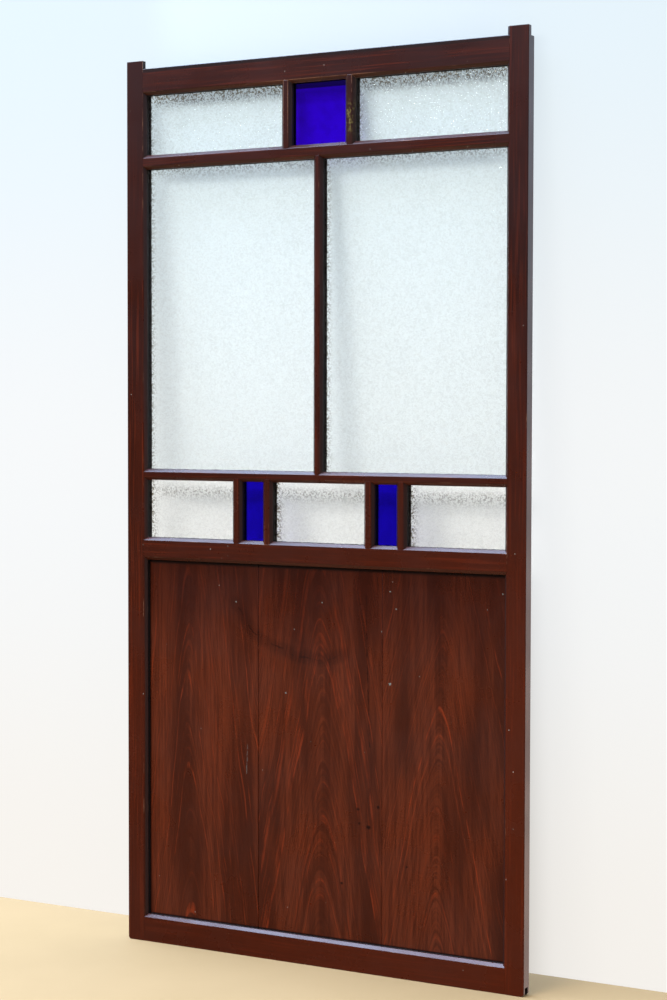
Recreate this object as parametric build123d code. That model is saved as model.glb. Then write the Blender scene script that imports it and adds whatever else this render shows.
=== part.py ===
from build123d import *
from dataclasses import dataclass
import os

# Leaf of a sliding glass door: a wooden frame with figured and blue glass above
# a panel of three boards. Millimetres. X runs across the leaf, Y from its front
# to its back and Z up. The origin is on the floor under the middle of the leaf.

# Leaf
leaf_w = 874.0
leaf_t = 24.0
horn_h = 16.0             # stile ends above the top rail
stile_w = 44.0
arris = 0.8               # softened outer edges
foot_chamfer = 4.5        # outer bottom corner of each stile

# Rails, by height
top_rail_h = 52.0
transom_rail_h = 28.0
middle_rail_h = 22.0
waist_rail_h = 45.0
bottom_rail_h = 54.5

# Spaces between the rails, by height
top_light_h = 118.0
main_light_h = 593.0
lower_light_h = 114.5
panel_h = 714.0

# Glazing bars and the blue lights between them
centre_bar_w = 20.0
small_bar_w = 22.0
top_blue_w = 117.0
lower_blue_w = 47.0

# Front moulding, joints and glazing, by depth behind the front face
chamfer_leg = 6.0         # 45 degree chamfer, mitred at every shoulder
glass_depth = 14.0
glass_t = 3.0
rebate_w = 6.0            # cover of the rebate around each light
pane_gap = 1.0            # room beside and above a pane
bead_set_back = 0.5       # beads below the back face
rail_tenon_l = 32.0
bar_tenon_l = 7.0
mortise_relief = 1.0      # mortise deeper than its tenon
tenon_shoulder = 1.0      # wood left between a tenon and a rebate or groove
outer_margin = 8.0        # tenon in from an outer edge

# Panel boards
board_t = 6.0
panel_groove = 8.0
board_gap = 1.0           # room for the wood to move at the sides and the top
left_board_w = 255.0
right_board_w = 257.0
left_seam_gap = 0.8
right_seam_gap = 0.3
seam_arris = 0.5
tongue_t = 2.0
tongue_l = 3.0
tongue_room = 0.5

# Head and sill
head_tongue_t = 11.0      # what is left at the front of the head
head_rebate_h = 18.0      # down from the top of the horns
sill_groove_w = 12.0
sill_groove_h = 15.0

# Door rollers
wheel_d = 28.0
wheel_w = 7.0
wheel_lift = 4.0          # lowest point of the wheel above the underside
rim_groove = 2.5
rim_land = 1.0
axle_d = 4.0
axle_fit = 0.05           # radial clearance in the wheel
roller_inset = 130.0      # roller centre from the edge of the leaf
sheet_t = 1.2
side_play = 0.5
end_room = 3.0            # wheel to the ends of its housing
head_room = 2.0           # wheel to the roof of its housing
flange_l = 14.0
pocket_fit = 0.3
pocket_relief = 1.0
nail_d = 2.4
nail_head_d = 5.0
nail_head_t = 1.0
nail_l = 16.0

# Derived sizes
half_w = leaf_w / 2
light_w = leaf_w - 2 * stile_w
half_light = light_w / 2
front = -leaf_t / 2
tenon_t = glass_depth - chamfer_leg
margins = {
    "light": rebate_w + tenon_shoulder,
    "panel": panel_groove + tenon_shoulder,
    "outer": outer_margin,
}


def block(xs, depths, zs):
    """A straight block, placed by its x range, its depths behind the front face and its z range."""
    size = (xs[1] - xs[0], depths[1] - depths[0], zs[1] - zs[0])
    corner = Pos(xs[0], front + depths[0], zs[0])
    return corner * Box(*size, align=(Align.MIN, Align.MIN, Align.MIN))


def plate(outline, depths):
    """A flat outline drawn on the front view, thick from one depth to another."""
    plane = Plane.XZ.offset(-(front + depths[1]))
    face = plane * make_face(Polyline(*outline, close=True))
    return extrude(face, amount=depths[1] - depths[0], dir=(0, -1, 0))


def upright(section, zs):
    """A section of (x, depth) points, run up from one height to another."""
    points = [(x, front + depth) for x, depth in section]
    face = Plane.XY.offset(zs[0]) * make_face(Polyline(*points, close=True))
    return extrude(face, amount=zs[1] - zs[0], dir=(0, 0, 1))


def crosswise(section, xs):
    """A section of (z, depth) points, run across from one x to another."""
    points = [(front + depth, z) for z, depth in section]
    face = Plane.YZ.offset(xs[0]) * make_face(Polyline(*points, close=True))
    return extrude(face, amount=xs[1] - xs[0], dir=(1, 0, 0))


# Frame bars

@dataclass
class Bar:
    """A rail along X or a glazing bar along Z, tenoned at both ends."""
    along: str
    shoulders: tuple
    sides: tuple
    kinds: tuple
    tenon_l: float

    def box(self, lengthwise, widthwise, depths):
        if self.along == "X":
            return block(lengthwise, depths, widthwise)
        return block(widthwise, depths, lengthwise)

    def front_leg(self, side):
        return arris if self.kinds[side] == "outer" else chamfer_leg

    def section(self):
        low, high = self.sides
        points = [(low, self.front_leg(0)), (low + self.front_leg(0), 0)]
        points += [(high - self.front_leg(1), 0), (high, self.front_leg(1))]
        points += [(high, leaf_t)]
        if self.kinds[0] == "outer":
            return points + [(low + arris, leaf_t), (low, leaf_t - arris)]
        return points + [(low, leaf_t)]

    def lap(self):
        """The front layer, which laps over the next member and is mitred where a chamfer turns."""
        start, end = self.shoulders
        low, high = self.sides
        low_in = low if self.kinds[0] == "outer" else low + chamfer_leg
        high_in = high if self.kinds[1] == "outer" else high - chamfer_leg
        tips = (start - chamfer_leg, end + chamfer_leg)
        outline = [(tips[0], low_in), (start, low), (end, low), (tips[1], low_in)]
        outline += [(tips[1], high_in), (end, high), (start, high), (tips[0], high_in)]
        if self.along == "Z":
            outline = [(x, z) for z, x in outline]
        return plate(outline, (0, chamfer_leg))

    def tenons(self, longer=0.0):
        start, end = self.shoulders
        reach = self.tenon_l + longer
        width = (self.sides[0] + margins[self.kinds[0]], self.sides[1] - margins[self.kinds[1]])
        depths = (chamfer_leg, chamfer_leg + tenon_t)
        return self.box((start - reach, start), width, depths) + self.box((end, end + reach), width, depths)

    def solid(self):
        start, end = self.shoulders
        run = upright if self.along == "Z" else crosswise
        stock = run(self.section(), (start - chamfer_leg, end + chamfer_leg))
        body = self.box(self.shoulders, self.sides, (chamfer_leg, leaf_t))
        return (self.lap() + body) & stock

    def housing(self):
        """What the members at its ends lose to it."""
        return self.lap() + self.tenons(mortise_relief)


def stack_rails():
    """The five rails, from the floor up, with the spaces between them."""
    courses = [
        ("bottom_rail", bottom_rail_h, panel_h, ("outer", "panel")),
        ("waist_rail", waist_rail_h, lower_light_h, ("panel", "light")),
        ("middle_rail", middle_rail_h, main_light_h, ("light", "light")),
        ("transom_rail", transom_rail_h, top_light_h, ("light", "light")),
        ("top_rail", top_rail_h, 0, ("light", "outer")),
    ]
    rails = {}
    z = 0
    for name, height, space, kinds in courses:
        rails[name] = Bar("X", (-half_light, half_light), (z, z + height), kinds, rail_tenon_l)
        z += height + space
    return rails


rails = stack_rails()
rail_top = rails["top_rail"].sides[1]
horn_top = rail_top + horn_h


def lay_out_row(row, low_rail, high_rail, bar_w, widths):
    """Lights side by side between two rails, with a glazing bar between each pair."""
    zs = (rails[low_rail].sides[1], rails[high_rail].sides[0])
    x = -half_light
    for number, (name, width) in enumerate(widths):
        lights[f"{row}_{name}"] = ((x, x + width), zs)
        x += width
        if number < len(widths) - 1:
            bar = Bar("Z", zs, (x, x + bar_w), ("light", "light"), bar_tenon_l)
            glazing_bars[f"{row}_bar_{number + 1}"] = (bar, low_rail, high_rail)
        x += bar_w


lights = {}
glazing_bars = {}
top_clear_w = (light_w - top_blue_w - 2 * small_bar_w) / 2
main_clear_w = (light_w - centre_bar_w) / 2
lower_clear_w = (light_w - 2 * lower_blue_w - 4 * small_bar_w) / 3
lay_out_row("top", "transom_rail", "top_rail", small_bar_w,
            [("left", top_clear_w), ("blue", top_blue_w), ("right", top_clear_w)])
lay_out_row("main", "middle_rail", "transom_rail", centre_bar_w,
            [("left", main_clear_w), ("right", main_clear_w)])
lay_out_row("lower", "waist_rail", "middle_rail", small_bar_w,
            [("left", lower_clear_w), ("blue_left", lower_blue_w), ("middle", lower_clear_w),
             ("blue_right", lower_blue_w), ("right", lower_clear_w)])


def light_rebates():
    """The pocket behind each light, which takes the pane and its beads from the back."""
    pockets = []
    for xs, zs in lights.values():
        wide = (xs[0] - rebate_w, xs[1] + rebate_w)
        tall = (zs[0] - rebate_w, zs[1] + rebate_w)
        pockets.append(block(wide, (glass_depth, leaf_t), tall))
    return pockets


panel_zs = (rails["bottom_rail"].sides[1], rails["waist_rail"].sides[0])


def panel_channel():
    """The groove round the panel, as one slab that the stiles and two rails lose."""
    xs = (-half_light - panel_groove, half_light + panel_groove)
    zs = (panel_zs[0] - panel_groove, panel_zs[1] + panel_groove)
    return block(xs, (glass_depth, glass_depth + board_t), zs)


def sill_groove():
    middle = leaf_t / 2
    depths = (middle - sill_groove_w / 2, middle + sill_groove_w / 2)
    return block((-half_w, half_w), depths, (0, sill_groove_h))


def head_rebate():
    """Cut along the back of the head, across both horns and the top rail."""
    return block((-half_w, half_w), (head_tongue_t, leaf_t), (horn_top - head_rebate_h, horn_top))


def stile_blank(side):
    """One stile before its joints; side is -1 on the left and 1 on the right."""
    outer = side * half_w
    inner = side * half_light
    section = [(outer - side * arris, 0), (inner + side * chamfer_leg, 0)]
    section += [(inner, chamfer_leg), (inner, leaf_t)]
    section += [(outer - side * arris, leaf_t), (outer, leaf_t - arris), (outer, arris)]
    blank = upright(section, (0, horn_top))
    toe = [(outer - side * foot_chamfer, 0), (outer, 0), (outer, foot_chamfer)]
    ear = [(outer - side * arris, horn_top), (outer, horn_top), (outer, horn_top - arris)]
    return blank - plate(toe, (0, leaf_t)) - plate(ear, (0, leaf_t))


def stile(side):
    solid = stile_blank(side)
    for crossing in rails.values():
        solid -= crossing.housing()
    for pocket in light_rebates():
        solid -= pocket
    return solid - panel_channel() - sill_groove() - head_rebate()


def left_stile():
    """The left horn is sawn back to the flat of the stile, in line with the chamfer's front edge."""
    chamfered = (-half_light - chamfer_leg, -half_light)
    return stile(-1) - block(chamfered, (0, leaf_t), (rail_top, horn_top))


def rail(name):
    solid = rails[name].solid()
    for bar, low_rail, high_rail in glazing_bars.values():
        if name in (low_rail, high_rail):
            solid -= bar.housing()
    for pocket in light_rebates():
        solid -= pocket
    solid += rails[name].tenons()
    if "panel" in rails[name].kinds:
        solid -= panel_channel()
    if name == "top_rail":
        solid -= head_rebate()
    if name == "bottom_rail":
        solid -= sill_groove()
        for centre in roller_centres():
            solid -= roller_pocket(centre)
            for x in nail_places(centre):
                solid -= nail(x)
    return solid


def glazing_bar(bar):
    solid = bar.solid()
    for pocket in light_rebates():
        solid -= pocket
    return solid + bar.tenons()


# Panes and beads

def pane(light):
    """Rests on the sill of its rebate, with room at its sides and top."""
    xs, zs = light
    wide = (xs[0] - rebate_w + pane_gap, xs[1] + rebate_w - pane_gap)
    tall = (zs[0] - rebate_w, zs[1] + rebate_w - pane_gap)
    return block(wide, (glass_depth, glass_depth + glass_t), tall)


def beads(light):
    """Four beads with mitred corners, behind the pane."""
    (x0, x1), (z0, z1) = light
    sight = [(x0, z0), (x1, z0), (x1, z1), (x0, z1)]
    back = [(x0 - rebate_w, z0 - rebate_w), (x1 + rebate_w, z0 - rebate_w)]
    back += [(x1 + rebate_w, z1 + rebate_w), (x0 - rebate_w, z1 + rebate_w)]
    depths = (glass_depth + glass_t, leaf_t - bead_set_back)
    strips = []
    for here in range(4):
        there = (here + 1) % 4
        outline = [back[here], back[there], sight[there], sight[here]]
        strips.append(plate(outline, depths))
    return strips


# Panel boards

def board_edge(x, into, reach):
    """Points down one edge of a board; reach is a groove's depth, or less than 0 for a tongue."""
    face = glass_depth
    tongue_front = face + (board_t - tongue_t) / 2
    tongue_back = tongue_front + tongue_t
    points = [(x + into * seam_arris, face), (x, face + seam_arris)]
    points += [(x, tongue_front), (x + into * reach, tongue_front)]
    points += [(x + into * reach, tongue_back), (x, tongue_back), (x, face + board_t)]
    return points


def plain_edge(x):
    return [(x, glass_depth), (x, glass_depth + board_t)]


def panel_boards():
    """Three upright boards, tongued together, with their ends and outer edges in the channel."""
    zs = (panel_zs[0] - panel_groove, panel_zs[1] + panel_groove - board_gap)
    outer = half_light + panel_groove - board_gap
    left_seam = -half_light + left_board_w
    right_seam = half_light - right_board_w
    left_edges = (left_seam - left_seam_gap / 2, left_seam + left_seam_gap / 2)
    right_edges = (right_seam - right_seam_gap / 2, right_seam + right_seam_gap / 2)
    edges = {
        "left": (plain_edge(-outer), board_edge(left_edges[0], -1, -tongue_l)),
        "middle": (board_edge(left_edges[1], 1, tongue_l + tongue_room),
                   board_edge(right_edges[0], -1, -tongue_l)),
        "right": (board_edge(right_edges[1], 1, tongue_l + tongue_room), plain_edge(outer)),
    }
    return {name: upright(low + high[::-1], zs) for name, (low, high) in edges.items()}


# Door rollers

housing_l = wheel_d + 2 * (end_room + sheet_t)
housing_w = wheel_w + 2 * (side_play + sheet_t)
wheel_z = wheel_lift + wheel_d / 2
housing_top = wheel_lift + wheel_d + head_room + sheet_t


def centred(length):
    return (-length / 2, length / 2)


def roller_centres():
    return (-half_w + roller_inset, half_w - roller_inset)


def nail_places(centre):
    reach = housing_l / 2 + flange_l / 2
    return (centre - reach, centre + reach)


def across_leaf(diameter, length, x, z):
    """A round bar along Y, through the middle of the leaf's thickness."""
    return Pos(x, 0, z) * Rot(90, 0, 0) * Cylinder(diameter / 2, length)


def roller_pocket(centre):
    """Mortise for a housing, above the sill groove."""
    size = (housing_l + 2 * pocket_fit, housing_w + 2 * pocket_fit)
    height = housing_top + pocket_relief - sill_groove_h
    place = Pos(centre, 0, sill_groove_h)
    return place * Box(*size, height, align=(Align.CENTER, Align.CENTER, Align.MIN))


def nail(x):
    """A round-headed nail, driven up through a flange into the bottom rail."""
    upward = (Align.CENTER, Align.CENTER, Align.MIN)
    downward = (Align.CENTER, Align.CENTER, Align.MAX)
    shank = Cylinder(nail_d / 2, nail_l, align=upward)
    head = Cylinder(nail_head_d / 2, nail_head_t, align=downward)
    return Pos(x, 0, sill_groove_h - sheet_t) * (shank + head)


def roller_housing(centre):
    """A pressed box, open below, with a flange at each end that lies on the roof of the groove."""
    under = sill_groove_h - sheet_t
    bottom = (Align.CENTER, Align.CENTER, Align.MIN)
    shell = Pos(centre, 0, under) * Box(housing_l, housing_w, housing_top - under, align=bottom)
    room = (housing_l - 2 * sheet_t, housing_w - 2 * sheet_t, housing_top - sheet_t - under)
    flange = Pos(centre, 0, under) * Box(housing_l + 2 * flange_l, housing_w, sheet_t, align=bottom)
    solid = shell + flange - Pos(centre, 0, under) * Box(*room, align=bottom)
    solid -= across_leaf(axle_d, housing_w, centre, wheel_z)
    for x in nail_places(centre):
        solid -= nail(x)
    return solid


def roller_wheel(centre):
    """A turned wheel with a groove round its rim, which runs on the rail in the sill."""
    bore = axle_d / 2 + axle_fit
    rim = wheel_d / 2
    half = wheel_w / 2
    profile = [(bore, -half), (rim, -half), (rim, -half + rim_land), (rim - rim_groove, 0)]
    profile += [(rim, half - rim_land), (rim, half), (bore, half)]
    turned = revolve(make_face(Polyline(*profile, close=True)), Axis.Y)
    return Pos(centre, 0, wheel_z) * turned


def roller_axle(centre):
    return across_leaf(axle_d, housing_w, centre, wheel_z)


def build():
    pieces = {"left_stile": left_stile(), "right_stile": stile(1)}
    for name in rails:
        pieces[name] = rail(name)
    for name, (bar, _, _) in glazing_bars.items():
        pieces[name] = glazing_bar(bar)
    for name, board in panel_boards().items():
        pieces[f"panel_board_{name}"] = board
    for name, light in lights.items():
        pieces[f"pane_{name}"] = pane(light)
        pieces[f"beads_{name}"] = Compound(beads(light))
    nails = []
    for side, centre in zip(("left", "right"), roller_centres()):
        pieces[f"roller_housing_{side}"] = roller_housing(centre)
        pieces[f"roller_wheel_{side}"] = roller_wheel(centre)
        pieces[f"roller_axle_{side}"] = roller_axle(centre)
        nails += [nail(x) for x in nail_places(centre)]
    pieces["roller_nails"] = Compound(nails)
    return pieces


os.makedirs("parts", exist_ok=True)
for name, piece in build().items():
    export_step(piece, f"parts/{name}.step")
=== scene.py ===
# %% [markdown]
# A sliding glass door, dressed around its construction model
#
# The door is a stained wooden leaf: two stiles, five rails, slim glazing bars, figured and
# blue glass above, and a panel of three boards below. The construction model already has
# every piece at its real size. This file gives each piece the surface of the real one:
# softened wooden arrises, grain, stain and wear, glass with a pressed relief, and small nails.
# The model is loaded first and never moved, so all that follows is placed by its boxes.

# %% Load the construction model
import math
import random

import bmesh
import bpy
from mathutils import Matrix, Vector, noise


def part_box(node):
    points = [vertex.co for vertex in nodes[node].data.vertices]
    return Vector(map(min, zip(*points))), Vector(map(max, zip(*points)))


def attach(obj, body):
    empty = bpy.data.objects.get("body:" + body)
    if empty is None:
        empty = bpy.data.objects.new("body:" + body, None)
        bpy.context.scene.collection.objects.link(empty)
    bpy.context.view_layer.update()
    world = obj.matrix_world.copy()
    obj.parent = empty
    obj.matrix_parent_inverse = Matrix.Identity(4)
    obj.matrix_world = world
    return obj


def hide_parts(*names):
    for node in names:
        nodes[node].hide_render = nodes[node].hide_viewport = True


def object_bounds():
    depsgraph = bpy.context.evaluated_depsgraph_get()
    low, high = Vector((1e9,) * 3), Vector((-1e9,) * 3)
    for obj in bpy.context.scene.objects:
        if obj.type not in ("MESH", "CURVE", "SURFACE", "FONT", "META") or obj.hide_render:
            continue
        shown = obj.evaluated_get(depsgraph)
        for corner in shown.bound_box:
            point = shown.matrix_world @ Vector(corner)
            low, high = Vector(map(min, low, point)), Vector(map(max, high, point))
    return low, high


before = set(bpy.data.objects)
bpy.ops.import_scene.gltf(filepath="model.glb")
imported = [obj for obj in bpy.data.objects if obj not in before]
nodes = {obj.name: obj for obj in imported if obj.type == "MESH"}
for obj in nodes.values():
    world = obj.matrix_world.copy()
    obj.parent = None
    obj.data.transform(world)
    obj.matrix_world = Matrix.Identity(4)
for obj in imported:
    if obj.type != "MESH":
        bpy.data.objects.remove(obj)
cad_low, cad_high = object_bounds()
millimetre = 0.001
print("pieces in the model:", len(nodes))

# %% [markdown]
# The leaf's own measures
#
# A few sizes are read from the model, so that the grain, the wear and the small nails stay
# with the wood if the door is ever made wider or taller. Front is towards -Y.

# %% Measures of the leaf
leaf_low, leaf_high = cad_low.copy(), cad_high.copy()
front = leaf_low.y
back = leaf_high.y
stile_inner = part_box("left_stile")[1].x
panel_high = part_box("panel_board_right")[1]
panel_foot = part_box("bottom_rail")[1].z
rail_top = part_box("top_rail")[1].z
print("leaf:", [round(v / millimetre, 1) for v in leaf_high - leaf_low])

# %% [markdown]
# Camera
#
# The door is seen from its right, from a little over its middle, with a long lens. A camera
# can be placed by eye, but here four corners of the leaf fix it: place, direction and lens
# were worked out from them once, and are kept as plain values.

# %% The camera
camera_place = Vector((2.0389, -3.5328, 1.0681))
camera_forward = Vector((-0.49377, 0.86857, -0.04213)).normalized()
camera_up = Vector((-0.02243, 0.03571, 0.99911))
camera_right = camera_forward.cross(camera_up).normalized()
camera_up = camera_right.cross(camera_forward)

camera_data = bpy.data.cameras.new("camera")
camera_data.sensor_fit = "AUTO"
camera_data.sensor_width = 36.0
camera_data.lens = 77.04
camera_data.clip_start = 0.05
camera_data.clip_end = 100.0
camera = bpy.data.objects.new("camera", camera_data)
bpy.context.scene.collection.objects.link(camera)
turn = Matrix((camera_right, camera_up, -camera_forward)).transposed()
camera.matrix_world = Matrix.Translation(camera_place) @ turn.to_4x4()
bpy.context.scene.camera = camera
print("camera to door:", round((camera_place - (leaf_low + leaf_high) / 2).length, 2), "m")

# %% [markdown]
# Shader helpers
#
# A material is a net of nodes. Three small functions keep the nets readable: one adds a node
# and fills its sockets, one does sums, one blends colours. Each returns what the next needs.

# %% Shader helpers
def add(tree, kind, feeds=None, **settings):
    """A shader node; feeds are sockets by name or number, each with a value or a source."""
    made = tree.nodes.new("ShaderNode" + kind)
    for option, value in settings.items():
        setattr(made, option, value)
    for name, value in (feeds or {}).items():
        if isinstance(value, bpy.types.NodeSocket):
            tree.links.new(value, made.inputs[name])
        else:
            made.inputs[name].default_value = value
    return made


def calc(tree, operation, first, second=0.0, third=0.0, clamp=False):
    """The result of one sum."""
    feeds = {0: first, 1: second, 2: third}
    return add(tree, "Math", feeds, operation=operation, use_clamp=clamp).outputs[0]


def blend(tree, share, under, over, kind="MIX"):
    """Two colours blended; share 0 gives the first and 1 the second."""
    feeds = {0: share, 6: under, 7: over}
    return add(tree, "Mix", feeds, data_type="RGBA", blend_type=kind).outputs[2]


def spread(tree, value, low, high, to_low=0.0, to_high=1.0):
    """A value moved smoothly from one range to another, and kept in it."""
    feeds = {0: value, 1: low, 2: high, 3: to_low, 4: to_high}
    return add(tree, "MapRange", feeds, interpolation_type="SMOOTHSTEP").outputs[0]


def noise_at(tree, place, scale, detail=3.0, roughness=0.55, distortion=0.0):
    """Soft noise from 0 to 1 at a place."""
    feeds = {"Vector": place, "Scale": scale, "Detail": detail}
    feeds |= {"Roughness": roughness, "Distortion": distortion}
    return add(tree, "TexNoise", feeds).outputs["Fac"]


def stretched(tree, place, scale, shift=(0.0, 0.0, 0.0)):
    """A place squeezed or drawn out along each axis."""
    feeds = {"Vector": place, "Location": shift, "Scale": scale}
    return add(tree, "Mapping", feeds).outputs[0]


def group(name, takes, gives):
    """An empty node group with named sockets; returns it with its input and output nodes."""
    tree = bpy.data.node_groups.new(name, "ShaderNodeTree")
    kinds = {"value": "NodeSocketFloat", "colour": "NodeSocketColor", "vector": "NodeSocketVector"}
    for socket, kind in takes:
        tree.interface.new_socket(socket, in_out="INPUT", socket_type=kinds[kind])
    for socket, kind in gives:
        tree.interface.new_socket(socket, in_out="OUTPUT", socket_type=kinds[kind])
    return tree, tree.nodes.new("NodeGroupInput"), tree.nodes.new("NodeGroupOutput")


def use(tree, made_group, feeds):
    """A group placed in a material, with its own values."""
    placed = add(tree, "Group", node_tree=made_group)
    for name, value in feeds.items():
        if isinstance(value, bpy.types.NodeSocket):
            tree.links.new(value, placed.inputs[name])
        else:
            placed.inputs[name].default_value = value
    return placed


def material(name):
    """A new material; returns it with its tree, its shader and Object coordinates."""
    made = bpy.data.materials.new(name)
    made.use_nodes = True
    tree = made.node_tree
    shader = tree.nodes["Principled BSDF"]
    place = add(tree, "TexCoord").outputs["Object"]
    return made, tree, shader, place


def ring_distance(tree, place, x, z):
    """How far a place is from a point on the door's face."""
    flat = add(tree, "VectorMath", {0: place, 1: (1, 0, 1)}, operation="MULTIPLY").outputs[0]
    return add(tree, "VectorMath", {0: flat, 1: (x, 0, z)}, operation="DISTANCE").outputs["Value"]


def most(tree, values):
    """The largest of several values."""
    top = values[0]
    for value in values[1:]:
        top = calc(tree, "MAXIMUM", top, value)
    return top


print("shader helpers ready")

# %% [markdown]
# Straight grain
#
# Stiles, rails and bars are cut so that the year rings run along them as fine straight lines.
# A stretched noise gives that: squeezed across the bar and drawn out along it, at three sizes,
# from slow changes of tone, over the rings, to single fibres. It is a group, because rails and
# stiles use it in two directions.

# %% Straight grain group
def straight_grain():
    gives = [("tone", "value"), ("rings", "value"), ("fibre", "value")]
    tree, taken, given = group("straight_grain", [("place", "vector")], gives)
    place = taken.outputs["place"]
    tone = noise_at(tree, stretched(tree, place, (1, 1, 0.12)), 22, 4)
    bent = noise_at(tree, stretched(tree, place, (1, 1, 0.25)), 9, 2)
    sideways = calc(tree, "MULTIPLY", calc(tree, "SUBTRACT", bent, 0.5), 0.012)
    shift = add(tree, "CombineXYZ", {0: sideways, 1: sideways, 2: 0.0}).outputs[0]
    moved = add(tree, "VectorMath", {0: place, 1: shift}, operation="ADD").outputs[0]
    rings = noise_at(tree, stretched(tree, moved, (1, 1, 0.018)), 260, 3, 0.6)
    fibre = noise_at(tree, stretched(tree, moved, (1, 1, 0.03)), 1500, 2)
    tree.links.new(tone, given.inputs["tone"])
    tree.links.new(rings, given.inputs["rings"])
    tree.links.new(fibre, given.inputs["fibre"])
    return tree


straight = straight_grain()
print("group:", straight.name)

# %% [markdown]
# Arched grain
#
# A wide board is a flat slice through a tapering trunk. Its year rings show as nested arches:
# the distance from the heart, plus a share of the height, is constant along each line. The
# group works that distance out, bends it a little, and reads one noise along it, so some
# rings come out strong and others faint, as they grow. A second noise breaks the lines up
# along their length into the flame-like streaks that stain leaves.

# %% Arched grain group
def arched_grain():
    takes = [("place", "vector"), ("heart", "value"), ("depth", "value"), ("taper", "value")]
    takes += [("ring", "value"), ("seed", "value")]
    gives = [("line", "value"), ("rings", "value"), ("tone", "value"), ("fibre", "value")]
    tree, taken, given = group("arched_grain", takes, gives)
    seed = add(tree, "CombineXYZ", {0: 0.0, 1: taken.outputs["seed"], 2: 0.0}).outputs[0]
    place = add(tree, "VectorMath", {0: taken.outputs["place"], 1: seed}, operation="ADD").outputs[0]
    split = add(tree, "SeparateXYZ", {0: place}).outputs
    wander = calc(tree, "SUBTRACT", noise_at(tree, stretched(tree, place, (1, 1, 0.35)), 5, 3), 0.5)
    ripple = calc(tree, "SUBTRACT", noise_at(tree, stretched(tree, place, (1, 1, 0.2)), 34, 2), 0.5)
    across = calc(tree, "SUBTRACT", split[0], taken.outputs["heart"])
    across = calc(tree, "ADD", across, calc(tree, "MULTIPLY", wander, 0.055))
    across = calc(tree, "ADD", across, calc(tree, "MULTIPLY", ripple, 0.007))
    across_squared = calc(tree, "MULTIPLY", across, across)
    depth_squared = calc(tree, "MULTIPLY", taken.outputs["depth"], taken.outputs["depth"])
    distance = calc(tree, "SQRT", calc(tree, "ADD", across_squared, depth_squared))
    radius = calc(tree, "MULTIPLY_ADD", split[2], taken.outputs["taper"], distance)
    along = calc(tree, "DIVIDE", radius, taken.outputs["ring"])
    ring_place = add(tree, "CombineXYZ", {0: along, 1: taken.outputs["seed"], 2: 0.0}).outputs[0]
    line = noise_at(tree, ring_place, 1.0, 4, 0.62)
    close = add(tree, "VectorMath", {0: ring_place, 1: (2.3, 1.0, 1.0)}, operation="MULTIPLY").outputs[0]
    streaks = noise_at(tree, stretched(tree, place, (1, 1, 0.03)), 230, 3, 0.6)
    rings = calc(tree, "MULTIPLY", calc(tree, "ADD", noise_at(tree, close, 1.0, 2), streaks), 0.5)
    flames = noise_at(tree, stretched(tree, place, (1, 1, 0.16)), 70, 4, 0.65)
    slow = noise_at(tree, stretched(tree, place, (1, 1, 0.10)), 17, 3)
    fibre = noise_at(tree, stretched(tree, place, (1, 1, 0.02)), 900, 2)
    line = calc(tree, "MULTIPLY", spread(tree, line, 0.53, 0.72), spread(tree, flames, 0.37, 0.63))
    tree.links.new(line, given.inputs["line"])
    tree.links.new(spread(tree, rings, 0.42, 0.60), given.inputs["rings"])
    tree.links.new(slow, given.inputs["tone"])
    tree.links.new(fibre, given.inputs["fibre"])
    return tree


arched = arched_grain()
print("group:", arched.name)

# %% [markdown]
# Wear and dust
#
# Years of hands and cleaning leave small pale nicks, faint rub marks and a film of dust in
# corners. The group gives two masks: scattered nicks, from sparse cells, and a slow cloudy
# haze that makes the varnish less even.

# %% Wear group
def wear_marks():
    takes = [("place", "vector"), ("density", "value")]
    gives = [("nicks", "value"), ("haze", "value")]
    tree, taken, given = group("wear_marks", takes, gives)
    place = taken.outputs["place"]
    cells = add(tree, "TexVoronoi", {"Vector": place, "Scale": 70.0, "Randomness": 1.0})
    chance = add(tree, "SeparateColor", {0: cells.outputs["Color"]}).outputs[0]
    chosen = calc(tree, "LESS_THAN", chance, taken.outputs["density"])
    dot = spread(tree, cells.outputs["Distance"], 0.05, 0.09, 1.0, 0.0)
    nicks = calc(tree, "MULTIPLY", chosen, dot)
    haze = noise_at(tree, place, 6, 5, 0.6)
    tree.links.new(nicks, given.inputs["nicks"])
    tree.links.new(haze, given.inputs["haze"])
    return tree


wear = wear_marks()
print("group:", wear.name)

# %% [markdown]
# Marks on the panel
#
# The boards carry the traces of their years: pale dings where something knocked the varnish
# off, a few small dark knots, and one long curved scratch. Each is a point or a short stroke at
# its own place, in metres across and up. They are collected in a group with two masks, pale
# and dark, since all three boards are marked.

# %% Marks group
DINGS = [(-0.189, 0.692, 1.6), (0.005, 0.700, 1.6), (-0.076, 0.521, 1.9), (0.152, 0.727, 2.0)]
DINGS += [(0.165, 0.695, 1.3), (0.134, 0.652, 1.4), (0.152, 0.553, 3.6), (0.385, 0.733, 2.0)]
DINGS += [(0.354, 0.702, 1.3), (-0.353, 0.600, 1.0), (0.098, 0.420, 1.0), (-0.020, 0.430, 0.9)]
KNOTS = [(0.084, 0.310, 3.2), (0.087, 0.283, 3.0), (0.107, 0.277, 4.4), (0.128, 0.317, 3.0)]
KNOTS += [(0.049, 0.164, 3.0), (0.189, 0.210, 2.2)]
SCRATCH = [(-0.189, 0.690), (-0.150, 0.633), (-0.100, 0.610), (-0.044, 0.593), (0.015, 0.590)]
SCRATCH += [(0.051, 0.602)]
CHECK = [(0.101, 0.717), (0.103, 0.600), (0.109, 0.431)]
RUB = [(-0.163, 0.413), (-0.165, 0.355)]


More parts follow.
